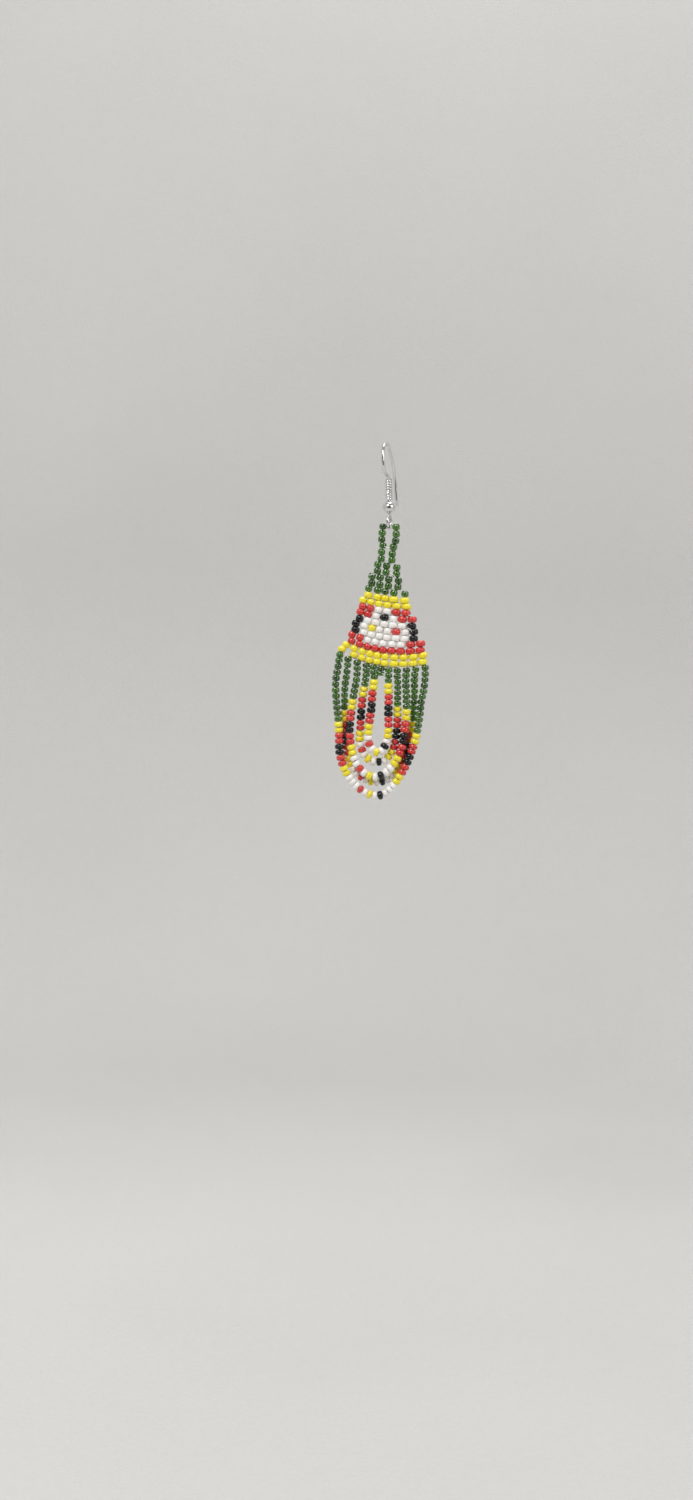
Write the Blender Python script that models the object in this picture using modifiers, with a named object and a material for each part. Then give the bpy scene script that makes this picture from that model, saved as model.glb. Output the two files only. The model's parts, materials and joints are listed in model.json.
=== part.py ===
"""A beaded drop earring: a bent ear wire with a coil and a ball, and a drop of seed beads hanging in its eye.

Metres, +Z up. The origin is the inside of the wire's bend, where it sits in the ear. The drop's own frame has
its origin on the bottom wire of the eye, about which it swings: X runs across the panel, -Y is its face.
"""

import math

import bmesh
import bpy
from mathutils import Matrix, Vector

MM = 0.001

# Ear wire
WIRE_D = 0.78 * MM
HOOK_REACH = 9.6 * MM
HOOK_RISE = 8.1 * MM
HOOK_TURN = math.radians(18)
SHANK_LEAN = math.radians(4.3)
EYE_R = 1.45 * MM
EYE_START = math.radians(24)
EYE_OPENING = math.radians(34)
EYE_STEPS = 20
NECK_REACH = 0.145 * MM
NECK_RISE = 0.195 * MM
NECK_DROP = 0.26 * MM
WIRE_SIDES = 2
BALL_D = 3.0 * MM
BALL_ARCS = 12
BALL_STEPS = 20
MERGE_DISTANCE = 0.001 * MM
COIL_WIRE_D = 0.45 * MM
COIL_TURNS = 8
COIL_PITCH = 0.6 * MM
POINTS_A_TURN = 12
SLIDE_GAP = 0.06 * MM
SEAT_GAP = 0.12 * MM

# Beadwork
BEAD_D = 1.96 * MM
COLUMN_PITCH = 2.1 * MM
BEAD_ROW = 1.54 * MM
THREAD_D = 0.3 * MM
PIECE_GAP = 0.3 * MM
PANEL_DROP = 5.2 * MM
ROW_TILT = -0.105
ROW_LIFT = 2.1 * MM
PANEL_BOW = 1.5 * MM
EDGE_ROUND = 0.45 * MM
EDGE_SEGMENTS = 2
EDGE_ANGLE = math.radians(40)
STRING_SIDES = 3

# The drop hangs from the pivot by two strands whose rounded tops clear the eye as it swings
STRAND_GAP = 0.38 * MM
STRAND_TOP = 1.05 * MM
STRAND_BOW = 0.24 * MM
SHOULDER_H = 0.4 * MM
SHOULDER_SHARE = 0.75

# Levels of the panel from the top: columns, spacing as a share of the column pitch, shift as a share of it
PANEL_LEVELS = (
    (2, 1.22, -0.12),
    (3, 1.10, 0.02),
    (4, 1.00, -0.12),
    (5, 1.04, 0.10),
    (6, 1.00, -0.06),
    (7, 1.00, 0.14),
    (8, 0.96, 0.06),
    (9, 0.98, 0.32),
    (10, 1.01, 0.00),
)

# The bend from the coil's top: reach and rise as shares of HOOK_REACH and HOOK_RISE
HOOK_BEND = (
    (-0.035, 0.05),
    (-0.12, 0.07),
    (-0.24, 0.09),
    (-0.335, 0.15),
    (-0.405, 0.26),
    (-0.44, 0.41),
    (-0.448, 0.56),
    (-0.427, 0.70),
    (-0.365, 0.85),
    (-0.25, 0.96),
    (-0.125, 1.00),
    (0.0, 0.96),
    (0.135, 0.84),
    (0.28, 0.68),
    (0.395, 0.51),
    (0.49, 0.32),
    (0.555, 0.12),
    (0.605, -0.10),
    (0.635, -0.32),
    (0.67, -0.53),
    (0.735, -0.71),
)
SEAT_STEP = 10

# Routes of the five fringe strings, in millimetres from the pivot, down the left side and up the right
FRINGE_ROUTES = (
    (
        (-10.5, 1.0, -34.0), (-10.75, 0.8, -37.3), (-10.4, 0.6, -41.5), (-9.7, 0.4, -46.0),
        (-9.2, 0.3, -50.2), (-8.8, 0.2, -54.3), (-7.3, 0.1, -58.3), (-4.9, 0.0, -61.3),
        (-2.0, 0.0, -63.3), (1.2, 0.0, -63.7), (4.0, 0.0, -61.6), (6.3, 0.0, -57.8),
        (8.0, -0.1, -53.6), (9.1, -0.1, -49.2), (9.6, -0.1, -45.2), (9.85, -0.1, -41.2),
        (10.35, -0.1, -37.5), (10.3, 0.0, -34.5),
    ),
    (
        (-8.2, 1.2, -34.8), (-8.5, 1.5, -38.5), (-8.35, 1.9, -42.5), (-8.15, 2.1, -46.5),
        (-7.6, 2.1, -51.0), (-6.4, 2.0, -55.9), (-4.2, 1.9, -58.9), (-1.5, 1.8, -60.4),
        (1.3, 1.8, -60.5), (3.9, 1.8, -58.9), (5.8, 1.8, -55.6), (7.2, 1.8, -51.3),
        (8.0, 1.8, -47.0), (8.15, 1.6, -42.5), (8.15, 1.1, -38.5), (7.9, 0.4, -35.2),
    ),
    (
        (-5.8, 0.6, -36.0), (-6.3, 0.4, -40.0), (-6.7, 0.3, -44.5), (-6.8, 0.2, -48.8),
        (-6.2, 0.1, -52.4), (-4.9, 0.0, -56.2), (-2.5, 0.0, -58.7), (0.3, 0.0, -59.3),
        (2.7, -0.2, -57.8), (4.7, -0.4, -55.2), (5.9, -0.5, -51.8), (6.3, -0.5, -47.8),
        (6.5, -0.5, -43.8), (6.25, -0.3, -39.8), (5.9, -0.1, -36.0),
    ),
    (
        (-3.6, 0.7, -35.8), (-4.05, 0.8, -39.5), (-4.25, 0.9, -43.5), (-4.25, 0.9, -47.5),
        (-4.2, 0.9, -50.8), (-3.0, 0.9, -54.2), (-0.6, 0.9, -55.7), (1.9, 0.9, -55.2),
        (3.7, 0.9, -52.8), (4.35, 0.9, -49.4), (4.45, 0.9, -45.8), (4.25, 0.8, -41.5),
        (4.05, 0.5, -37.0),
    ),
    (
        (-1.6, 0.1, -36.0), (-1.85, -0.2, -39.5), (-1.9, -0.4, -43.0), (-2.25, -0.6, -47.0),
        (-2.2, -0.7, -50.8), (-0.9, -0.7, -53.1), (0.9, -0.7, -53.3), (2.05, -0.6, -51.0),
        (2.4, -0.5, -48.3), (2.2, -0.4, -44.5), (2.05, -0.2, -40.5), (1.75, 0.0, -36.6),
    ),
)
ROUTE_STEPS = 2
WIRE_STEPS = 2
STRAND_STEPS = 3

# Heights above the pivot that follow from the sizes
EYE_TOP = 2 * EYE_R + WIRE_D / 2
BALL_Z = EYE_TOP + SEAT_GAP + BALL_D / 2
COIL_START = BALL_Z + BALL_D / 2 + SEAT_GAP + COIL_WIRE_D / 2
COIL_TOP = COIL_START + COIL_TURNS * COIL_PITCH + COIL_WIRE_D / 2
LEVEL_H = 2 * BEAD_ROW


def hook_point(reach, height):
    """A point of the hook's plane, which is turned from the panel's face and leans with the shank."""
    return Vector((
        reach * math.sin(HOOK_TURN) - height * math.tan(SHANK_LEAN),
        reach * math.cos(HOOK_TURN),
        height,
    ))


def smoothed(points, steps):
    """Points on a Catmull-Rom curve through the given ones."""
    points = [Vector(p) for p in points]
    ends = [2 * points[0] - points[1], *points, 2 * points[-1] - points[-2]]
    curve = []
    for i in range(1, len(ends) - 2):
        a, b, c, d = ends[i - 1 : i + 3]
        for step in range(steps):
            t = step / steps
            curve.append(
                0.5 * (2 * b + (c - a) * t + (2 * a - 5 * b + 4 * c - d) * t**2
                       + (3 * b - a - 3 * c + d) * t**3)
            )
    return curve + [points[-1]]


def principled(name, colour, roughness, metallic=0.0):
    material = bpy.data.materials.new(name)
    material.use_nodes = True
    shader = material.node_tree.nodes["Principled BSDF"]
    shader.inputs["Base Color"].default_value = (*colour, 1.0)
    shader.inputs["Roughness"].default_value = roughness
    shader.inputs["Metallic"].default_value = metallic
    return material


def placed(name, data, parent, material):
    """A named object under its parent empty, in the earring's collection."""
    obj = bpy.data.objects.new(name, data)
    obj.parent = parent
    data.materials.append(material)
    EARRING.objects.link(obj)
    return obj


def tube(name, points, diameter, parent, material, sides=WIRE_SIDES, shares=None):
    """A round wire or string along the points, with sides to a quarter turn; shares thin it at points."""
    curve = bpy.data.curves.new(name, "CURVE")
    curve.dimensions = "3D"
    curve.bevel_depth = diameter / 2
    curve.bevel_resolution = sides
    curve.use_fill_caps = True
    spline = curve.splines.new("POLY")
    spline.points.add(len(points) - 1)
    for i, (target, point) in enumerate(zip(spline.points, points, strict=True)):
        target.co = (*point, 1.0)
        target.radius = shares[i] if shares else 1.0
    return placed(name, curve, parent, material)


def ear_hook(parent, material):
    """Tail, bend, bow, shank and eye of one wire; the eye's end stops just short of the shank."""
    bend = [hook_point(a * HOOK_REACH, COIL_TOP + z * HOOK_RISE) for a, z in reversed(HOOK_BEND)]
    upper = smoothed([*bend, hook_point(0, COIL_TOP - WIRE_D / 2)], WIRE_STEPS)
    shank = [hook_point(0, BALL_Z), hook_point(0, EYE_TOP + NECK_RISE)]
    shank += [hook_point(NECK_REACH, EYE_TOP - NECK_DROP)]
    sweep = math.tau - EYE_OPENING - EYE_START
    angles = [EYE_START + sweep * i / EYE_STEPS for i in range(EYE_STEPS + 1)]
    eye = [hook_point(EYE_R * math.sin(t), EYE_R * (1 + math.cos(t))) for t in angles]
    return tube("ear_hook", upper + shank + eye, WIRE_D, parent, material)


def wrap_coil(parent, material):
    radius = WIRE_D / 2 + SLIDE_GAP + COIL_WIRE_D / 2
    count = COIL_TURNS * POINTS_A_TURN + 1
    points = []
    for i in range(count):
        turn = math.tau * i / POINTS_A_TURN
        rise = COIL_PITCH * i / POINTS_A_TURN
        points.append((radius * math.cos(turn), radius * math.sin(turn), rise))
    obj = tube("wrap_coil", points, COIL_WIRE_D, parent, material)
    obj.location = hook_point(0, COIL_START)
    obj.rotation_euler.y = -SHANK_LEAN
    return obj


def round_ball(parent, material):
    """A ball drilled for the shank, turned from its half section."""
    bore = WIRE_D / 2 + SLIDE_GAP
    radius = BALL_D / 2
    start = math.asin(bore / radius)
    profile = bmesh.new()
    points = []
    for i in range(BALL_ARCS + 1):
        angle = start + (math.pi - 2 * start) * i / BALL_ARCS
        points.append((radius * math.sin(angle), 0, radius * math.cos(angle)))
    verts = [profile.verts.new(p) for p in points]
    for a, b in zip(verts, verts[1:] + verts[:1], strict=True):
        profile.edges.new((a, b))
    mesh = bpy.data.meshes.new("round_ball")
    profile.to_mesh(mesh)
    profile.free()
    obj = placed("round_ball", mesh, parent, material)
    screw = obj.modifiers.new("turn", "SCREW")
    screw.steps = BALL_STEPS
    screw.render_steps = BALL_STEPS
    screw.use_merge_vertices = True
    screw.merge_threshold = MERGE_DISTANCE
    obj.location = hook_point(0, BALL_Z)
    obj.rotation_euler.y = -SHANK_LEAN
    return obj


def panel_point(edge, half_step):
    """A point on the panel's middle surface: edge counts the level borders down, half_step half columns."""
    columns, spacing, shift = PANEL_LEVELS[min(edge, len(PANEL_LEVELS) - 1)]
    most = PANEL_LEVELS[-1][0]
    half = most * COLUMN_PITCH / 2
    x = COLUMN_PITCH * (shift + spacing * half_step / 2)
    lift = ROW_LIFT * columns / most * (x / half) ** 2
    z = -PANEL_DROP - edge * LEVEL_H + ROW_TILT * x + lift
    return Vector((x, PANEL_BOW * ((x - half) / (2 * half)) ** 2, z))


def bead_panel(parent, material):
    """One sheet of half-column cells, a column wider at each level, made as thick as a bead."""
    sheet = bmesh.new()
    last = len(PANEL_LEVELS)
    edges = []
    for edge in range(last + 1):
        reach = PANEL_LEVELS[min(edge, last - 1)][0]
        edges.append({j: sheet.verts.new(panel_point(edge, j)) for j in range(-reach, reach + 1)})
    for level, (columns, _, _) in enumerate(PANEL_LEVELS):
        top, bottom = edges[level], edges[level + 1]
        for j in range(-columns, columns):
            sheet.faces.new((top[j], bottom[j], bottom[j + 1], top[j + 1]))
    mesh = bpy.data.meshes.new("bead_panel")
    sheet.to_mesh(mesh)
    sheet.free()
    obj = placed("bead_panel", mesh, parent, material)
    wall = obj.modifiers.new("thickness", "SOLIDIFY")
    wall.thickness = BEAD_D
    wall.offset = 0
    rounding = obj.modifiers.new("rounding", "BEVEL")
    rounding.width = EDGE_ROUND
    rounding.segments = EDGE_SEGMENTS
    rounding.limit_method = "ANGLE"
    rounding.angle_limit = EDGE_ANGLE
    return obj


def hanging_loop(parent, material):
    """Two strands up from the panel, joined by the bare thread that lies over the eye's bottom wire."""
    across = Vector((math.cos(HOOK_TURN), -math.sin(HOOK_TURN), 0))
    up = Vector((0, 0, 1))
    side = WIRE_D / 2 + BEAD_D / 2 + STRAND_GAP
    over = WIRE_D / 2 + THREAD_D / 2 + SEAT_GAP
    thin = THREAD_D / BEAD_D
    top_columns = PANEL_LEVELS[0][0]

    def half(sign):
        """Points and thickness shares from the panel up to the thread beside the wire."""
        foot = panel_point(0, sign * (top_columns - 1)) + PIECE_GAP * up
        shoulder = sign * side * across + (STRAND_TOP - SHOULDER_H) * up
        bow = (foot + shoulder) / 2 + Vector((sign * STRAND_BOW, 0, 0))
        strand = [(point, 1.0) for point in smoothed([foot, bow, shoulder], STRAND_STEPS)]
        crown = sign * side * across + (STRAND_TOP - THREAD_D / 2) * up
        thread = sign * (side - THREAD_D) * across + STRAND_TOP * up
        dip = sign * side / 2 * across + (over + THREAD_D / 2) * up
        return [*strand, (crown, SHOULDER_SHARE), (thread, thin), (dip, thin)]

    whole = [*half(-1), (over * up, thin), *reversed(half(1))]
    points = [point for point, _ in whole]
    shares = [share for _, share in whole]
    return tube("hanging_loop", points, BEAD_D, parent, material, STRING_SIDES, shares)


def fringe_loop(number, route, parent, material):
    """One string from the number-th column on the left to its twin on the right."""
    edge = len(PANEL_LEVELS)
    outer = PANEL_LEVELS[-1][0] + 1 - 2 * number
    ends = [panel_point(edge, sign * outer) - Vector((0, 0, PIECE_GAP)) for sign in (-1, 1)]
    middle = [Vector(point) * MM for point in route]
    points = smoothed([ends[0], *middle, ends[1]], ROUTE_STEPS)
    return tube(f"fringe_loop_{number}", points, BEAD_D, parent, material, STRING_SIDES)


def empty(name, place, parent=None):
    obj = bpy.data.objects.new(name, None)
    obj.matrix_world = Matrix.Translation(place)
    obj.parent = parent
    EARRING.objects.link(obj)
    return obj


for old in list(bpy.data.objects):
    bpy.data.objects.remove(old)

EARRING = bpy.data.collections.new("beaded_earring")
bpy.context.scene.collection.children.link(EARRING)

metal = principled("bright_metal", colour=(0.82, 0.82, 0.84), roughness=0.18, metallic=1.0)
green = principled("green_glass", colour=(0.03, 0.16, 0.03), roughness=0.12)
white = principled("white_glass", colour=(0.85, 0.83, 0.80), roughness=0.2)
red = principled("red_glass", colour=(0.60, 0.03, 0.02), roughness=0.2)

seat_reach, seat_rise = HOOK_BEND[SEAT_STEP]
seat = hook_point(seat_reach * HOOK_REACH, COIL_TOP + seat_rise * HOOK_RISE - WIRE_D / 2)
ear_wire = empty("ear_wire", -seat)
drop_pivot = empty("drop_pivot", -seat)

ear_hook(ear_wire, metal)
wrap_coil(ear_wire, metal)
round_ball(ear_wire, metal)
hanging_loop(drop_pivot, green)
bead_panel(drop_pivot, white)
for number, route in enumerate(FRINGE_ROUTES, 1):
    fringe_loop(number, route, drop_pivot, red)

bpy.context.view_layer.update()
print("drop pivot:", [round(v, 6) for v in drop_pivot.matrix_world.translation])
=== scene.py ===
# %% [markdown]
# A beaded drop earring.
# The real one is woven by hand from round glass seed beads on white thread: a stepped panel, five nested
# loops of beads under it and a short loop above, hung on a bent wire with a coil and a ball.
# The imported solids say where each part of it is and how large. This lesson makes real beads, thread and
# wire in their place, so it begins by loading their frame and noting how large they are.

# %% Load the frame
import json
import math
import random
from collections import namedtuple

import bmesh
import bpy
from mathutils import Matrix, Vector


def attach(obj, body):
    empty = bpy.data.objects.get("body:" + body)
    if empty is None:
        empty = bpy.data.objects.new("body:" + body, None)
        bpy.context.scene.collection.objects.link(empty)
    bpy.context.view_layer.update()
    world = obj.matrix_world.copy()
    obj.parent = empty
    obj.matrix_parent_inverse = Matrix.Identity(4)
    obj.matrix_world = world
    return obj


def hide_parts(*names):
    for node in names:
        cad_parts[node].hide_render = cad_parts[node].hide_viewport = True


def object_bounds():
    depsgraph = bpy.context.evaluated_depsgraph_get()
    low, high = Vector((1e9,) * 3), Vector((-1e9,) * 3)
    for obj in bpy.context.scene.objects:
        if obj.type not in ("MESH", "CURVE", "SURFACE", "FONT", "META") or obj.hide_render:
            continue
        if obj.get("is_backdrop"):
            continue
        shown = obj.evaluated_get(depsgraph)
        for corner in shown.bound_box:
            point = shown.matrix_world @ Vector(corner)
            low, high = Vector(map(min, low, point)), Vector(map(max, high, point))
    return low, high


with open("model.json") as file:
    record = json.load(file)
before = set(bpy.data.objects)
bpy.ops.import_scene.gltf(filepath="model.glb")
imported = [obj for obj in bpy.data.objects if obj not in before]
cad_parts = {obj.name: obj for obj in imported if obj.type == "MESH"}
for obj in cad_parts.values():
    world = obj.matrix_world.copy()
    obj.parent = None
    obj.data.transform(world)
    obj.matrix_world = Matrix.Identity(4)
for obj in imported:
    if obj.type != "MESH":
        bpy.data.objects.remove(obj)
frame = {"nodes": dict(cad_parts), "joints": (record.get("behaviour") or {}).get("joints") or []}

CAD_BOX = [list(corner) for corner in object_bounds()]
MM = 0.001
UP = Vector((0, 0, 1))
PIVOT = Vector(frame["joints"][0]["pos_m"])
SWING_AXIS = Vector(frame["joints"][0]["axis"]).normalized()
print("drop pivot, mm:", [round(v / MM, 2) for v in PIVOT])
print("nodes:", sorted(frame["nodes"]))

# %% [markdown]
# The photograph's camera.
# The earring is small and the lens is far from it, so lines hardly converge. A millimetre at the drop is
# 4.2 pixels, which gives the lens once a distance is chosen. The phone was held a few degrees off level,
# so the camera rolls by that angle and the drop itself hangs plumb.

# %% Camera
PHOTO_WIDTH = 693
PHOTO_HEIGHT = 1500
PIXELS_A_MM = 4.2
PIVOT_PIXEL = (389.5, 528.0)
CAMERA_DISTANCE = 430 * MM
SENSOR_HEIGHT = 36.0
NEAR = 10 * MM
FAR = 10.0
ROLL = math.radians(3.2)


def placed(name, data):
    """A new object of that mesh, light or camera, linked to the scene."""
    thing = bpy.data.objects.new(name, data)
    bpy.context.scene.collection.objects.link(thing)
    return thing


photo_right = Vector((math.cos(ROLL), 0, math.sin(ROLL)))
photo_up = Vector((-math.sin(ROLL), 0, math.cos(ROLL)))
photo_back = photo_right.cross(photo_up)
centre_right = (PHOTO_WIDTH / 2 - PIVOT_PIXEL[0]) / PIXELS_A_MM * MM
centre_up = (PIVOT_PIXEL[1] - PHOTO_HEIGHT / 2) / PIXELS_A_MM * MM
aim = PIVOT + centre_right * photo_right + centre_up * photo_up

camera_data = bpy.data.cameras.new("photo_camera")
camera_data.sensor_fit = "VERTICAL"
camera_data.sensor_height = SENSOR_HEIGHT
camera_data.lens = SENSOR_HEIGHT * PIXELS_A_MM * CAMERA_DISTANCE / MM / PHOTO_HEIGHT
camera_data.clip_start = NEAR
camera_data.clip_end = FAR
camera = placed("photo_camera", camera_data)
turned = Matrix((photo_right, photo_up, photo_back)).transposed().to_4x4()
camera.matrix_world = Matrix.Translation(aim + CAMERA_DISTANCE * photo_back) @ turned
bpy.context.scene.camera = camera
print("lens, mm:", round(camera_data.lens, 1))

# %% [markdown]
# Small helpers for nodes.
# Node trees take many short calls in Python. One helper adds a node, sets its properties by name, and for
# each input either links another node's output or stores a plain value. A pair of helpers opens a node
# group with named sockets and closes it. Shader trees and geometry trees share them all.

# %% Helpers for nodes
def feed(tree, node, inputs):
    """Gives a node's inputs, by name or number, other nodes' outputs or plain values."""
    for socket, value in inputs.items():
        if isinstance(value, bpy.types.NodeSocket):
            tree.links.new(value, node.inputs[socket])
        else:
            node.inputs[socket].default_value = value


def add_node(tree, kind, inputs=None, **properties):
    """A new node of that kind, its properties set before its inputs."""
    node = tree.nodes.new(kind)
    for name, value in properties.items():
        setattr(node, name, value)
    feed(tree, node, inputs or {})
    return node


def result(tree, kind, inputs=None, **properties):
    """The first output of a new node."""
    return add_node(tree, kind, inputs, **properties).outputs[0]


def add_math(tree, operation, first, second=0.0):
    """The result of one sum, product or power."""
    return result(tree, "ShaderNodeMath", {0: first, 1: second}, operation=operation)


def open_group(name, kind, inputs, outputs):
    """A node group with inputs, each as (name, kind, value), and outputs, each as (name, kind)."""
    group = bpy.data.node_groups.new(name, kind)
    for label, shape, value in inputs:
        socket = group.interface.new_socket(label, in_out="INPUT", socket_type=f"NodeSocket{shape}")
        if value is not None:
            socket.default_value = value
    for label, shape in outputs:
        group.interface.new_socket(label, in_out="OUTPUT", socket_type=f"NodeSocket{shape}")
    return group, group.nodes.new("NodeGroupInput").outputs


def close_group(group, results):
    """The group, with its results linked to its outputs."""
    feed(group, group.nodes.new("NodeGroupOutput"), results)
    return group


# %% [markdown]
# The glass of the beads.
# Opaque seed beads are drawn glass: even in colour, a little cloudy inside, with fine pits and a fire
# polish on top. The clouding and pits are one shader group that every glass uses with its own colours.
# A number stored on each bead, called tone, makes some beads a shade lighter or darker than the next.

# %% Group for glass
CLOUD_SCALE = 900
CLOUD_SHARE = 0.5
PIT_SCALE = 5200
PIT_ROUGHNESS = 0.14


def noise(tree, place, scale, detail=2):
    """Smooth noise from nought to one, read at a place."""
    return result(tree, "ShaderNodeTexNoise", {"Vector": place, "Scale": scale, "Detail": detail})


def glass_group():
    """Cloudy colour, uneven roughness and fine pits from a place on the piece and the bead's own tone."""
    inputs = (
        ("Place", "Vector", None),
        ("Tone", "Float", 0.5),
        ("Colour", "Color", None),
        ("Cloud colour", "Color", None),
        ("Tone spread", "Float", 0.5),
        ("Roughness", "Float", 0.15),
    )
    outputs = (("Colour", "Color"), ("Roughness", "Float"), ("Height", "Float"))
    group, given = open_group("bead glass", "ShaderNodeTree", inputs, outputs)
    clouds = noise(group, given["Place"], CLOUD_SCALE)
    pits = noise(group, given["Place"], PIT_SCALE)
    own = add_math(group, "MULTIPLY", given["Tone"], given["Tone spread"])
    share = add_math(group, "ADD", own, add_math(group, "MULTIPLY", clouds, CLOUD_SHARE))
    # A Mix node keeps its colours in sockets 6 and 7 and gives their mixture at 2
    shades = {0: share, 6: given["Colour"], 7: given["Cloud colour"]}
    mixed = add_node(group, "ShaderNodeMix", shades, data_type="RGBA", clamp_factor=True).outputs[2]
    uneven = add_math(group, "ADD", given["Roughness"], add_math(group, "MULTIPLY", pits, PIT_ROUGHNESS))
    return close_group(group, {"Colour": mixed, "Roughness": uneven, "Height": pits})


GLASS_GROUP = glass_group()
print("glass group inputs:", [s.name for s in GLASS_GROUP.interface.items_tree if s.in_out == "INPUT"])

# %% [markdown]
# What every material shares.
# A new material already holds a Principled shader. Its patterns read the place on the piece, so one helper
# gives both. The others turn noise into a colour between two tones, a number in a range, or a relief with
# a real depth.

# %% Helpers for materials
def new_material(name):
    """A material, its tree, its shader and the place on the piece that patterns read."""
    material = bpy.data.materials.new(name)
    material.use_nodes = True
    tree = material.node_tree
    place = add_node(tree, "ShaderNodeTexCoord").outputs["Object"]
    return material, tree, tree.nodes["Principled BSDF"], place


def two_tone(tree, factor, dark, light, low=0.0, high=1.0):
    """A colour that goes from dark to light while the factor goes from low to high."""
    node = add_node(tree, "ShaderNodeValToRGB", {0: factor})
    for element, colour, position in zip(node.color_ramp.elements, (dark, light), (low, high), strict=True):
        element.color = (*colour, 1)
        element.position = position
    return node.outputs[0]


def between(tree, factor, least, most):
    """The factor stretched over a range."""
    return result(tree, "ShaderNodeMapRange", {"Value": factor, "To Min": least, "To Max": most})


def relief(tree, height, depth, strength=1.0):
    """The normal of a surface with dents of that depth."""
    return result(tree, "ShaderNodeBump", {"Height": height, "Distance": depth, "Strength": strength})


# %% [markdown]
# Five glasses, one for each colour of bead.
# The yellow, red, white and black beads are opaque and glossy. The green ones are transparent, so light
# passes through them and the thread shows as a pale core: their transmission is a plain number on the
# shader. A thin clear coat gives the sharp small glints of polished glass to all but the black ones, whose
# own smooth surface glints enough.

# %% Glass materials
Glass = namedtuple("Glass", "letter name colour cloud spread roughness transmission coat")
GLASSES = (
    Glass("G", "green_glass", (0.014, 0.070, 0.003), (0.095, 0.30, 0.014), 0.6, 0.04, 0.85, 1.0),
    Glass("Y", "yellow_glass", (0.94, 0.835, 0.03), (0.90, 0.73, 0.012), 0.6, 0.16, 0.0, 0.6),
    Glass("R", "red_glass", (0.72, 0.040, 0.034), (0.60, 0.022, 0.019), 0.6, 0.16, 0.0, 0.6),
    Glass("W", "white_glass", (0.95, 0.945, 0.94), (0.90, 0.85, 0.81), 0.7, 0.2, 0.0, 0.5),
    Glass("K", "black_glass", (0.002, 0.002, 0.003), (0.005, 0.005, 0.006), 0.5, 0.10, 0.0, 0.0),
)
GLASS_IOR = 1.52
COAT_ROUGHNESS = 0.06
PIT_DEPTH = 0.012 * MM


def glass_material(glass):
    """One glass from the shared group, with its own constants on the shader."""
    material, tree, shader, place = new_material(glass.name)
    inputs = {
        "Place": place,
        "Tone": add_node(tree, "ShaderNodeAttribute", attribute_name="tone").outputs["Fac"],
        "Colour": (*glass.colour, 1),
        "Cloud colour": (*glass.cloud, 1),
        "Tone spread": glass.spread,
        "Roughness": glass.roughness,
    }
    made = add_node(tree, "ShaderNodeGroup", inputs, node_tree=GLASS_GROUP).outputs
    feed(tree, shader, {
        "IOR": GLASS_IOR,
        "Transmission Weight": glass.transmission,
        "Coat Weight": glass.coat,
        "Coat Roughness": COAT_ROUGHNESS,
        "Base Color": made["Colour"],
        "Roughness": made["Roughness"],
        "Normal": relief(tree, made["Height"], PIT_DEPTH),
    })
    return material


glass_materials = [glass_material(glass) for glass in GLASSES]
COLOUR_NUMBERS = {glass.letter: number for number, glass in enumerate(GLASSES)}
NO_BEAD = -1
print("glasses:", [material.name for material in glass_materials])

# %% [markdown]
# Thread and wire.
# The thread is white nylon of about a third of a millimetre, matt beside the glass, with a faint twist.
# The wire, coil and ball are bright silver plate, almost a mirror, with hairline scratches that spread
# each highlight a little.

# %% Thread and silver materials
def thread_material():
    material, tree, shader, place = new_material("white_thread")
    fibres = noise(tree, place, scale=9000)
    feed(tree, shader, {
        "Sheen Weight": 0.3,
        "Base Color": two_tone(tree, fibres, dark=(0.62, 0.61, 0.57), light=(0.90, 0.89, 0.86)),
        "Roughness": between(tree, fibres, least=0.42, most=0.6),
        "Normal": relief(tree, fibres, depth=0.03 * MM),
    })
    return material


def silver_material():
    material, tree, shader, place = new_material("bright_silver")
    stretched = result(tree, "ShaderNodeMapping", {"Vector": place, "Scale": (1, 1, 0.12)})
    scratches = noise(tree, stretched, scale=7000, detail=3)
    stains = noise(tree, place, scale=500)
    feed(tree, shader, {
        "Metallic": 1.0,
        "Base Color": two_tone(tree, stains, dark=(0.68, 0.675, 0.66), light=(0.84, 0.84, 0.84)),
        "Roughness": between(tree, scratches, least=0.09, most=0.24),
        "Normal": relief(tree, scratches, depth=0.004 * MM),
    })
    return material


thread = thread_material()
silver = silver_material()
print("materials:", len(bpy.data.materials))

# %% [markdown]
# How a piece grows.
# Geometry Nodes suit beadwork, because the same bead repeats along a path. A source mesh holds only
# points and lines, and a tree turns them into beads, thread or wire. Every tree here starts and ends the
# same way, and the last helper but one sets its named inputs, reads the evaluated result as a plain mesh
# and takes the source away again.

# %% Helpers for geometry trees
def new_tree(name, sockets):
    """A geometry tree with the named inputs after its Geometry, each as (name, kind, value)."""
    geometry = ("Geometry", "Geometry")
    return open_group(name, "GeometryNodeTree", ((*geometry, None), *sockets), (geometry,))


def stored(tree, name, kind):
    """What the points of the source hold under that name."""
    return result(tree, "GeometryNodeInputNamedAttribute", {"Name": name}, data_type=kind)


def round_tube(tree, route, width, sides, share=1.0):
    """A tube with closed ends along a route, with a share of the width at each point."""
    radius = add_math(tree, "MULTIPLY", width, 0.5)
    ring = result(tree, "GeometryNodeCurvePrimitiveCircle", {"Resolution": sides, "Radius": radius})
    inputs = {"Curve": route, "Profile Curve": ring, "Scale": share, "Fill Caps": True}
    return result(tree, "GeometryNodeCurveToMesh", inputs)


def finished(tree, geometry, material):
    """Smooth faces, real copies in place of instances, and the material."""
    smooth = result(tree, "GeometryNodeSetShadeSmooth", {"Geometry": geometry})
    real = result(tree, "GeometryNodeRealizeInstances", {"Geometry": smooth})
    return result(tree, "GeometryNodeSetMaterial", {"Geometry": real, "Material": material})


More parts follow.
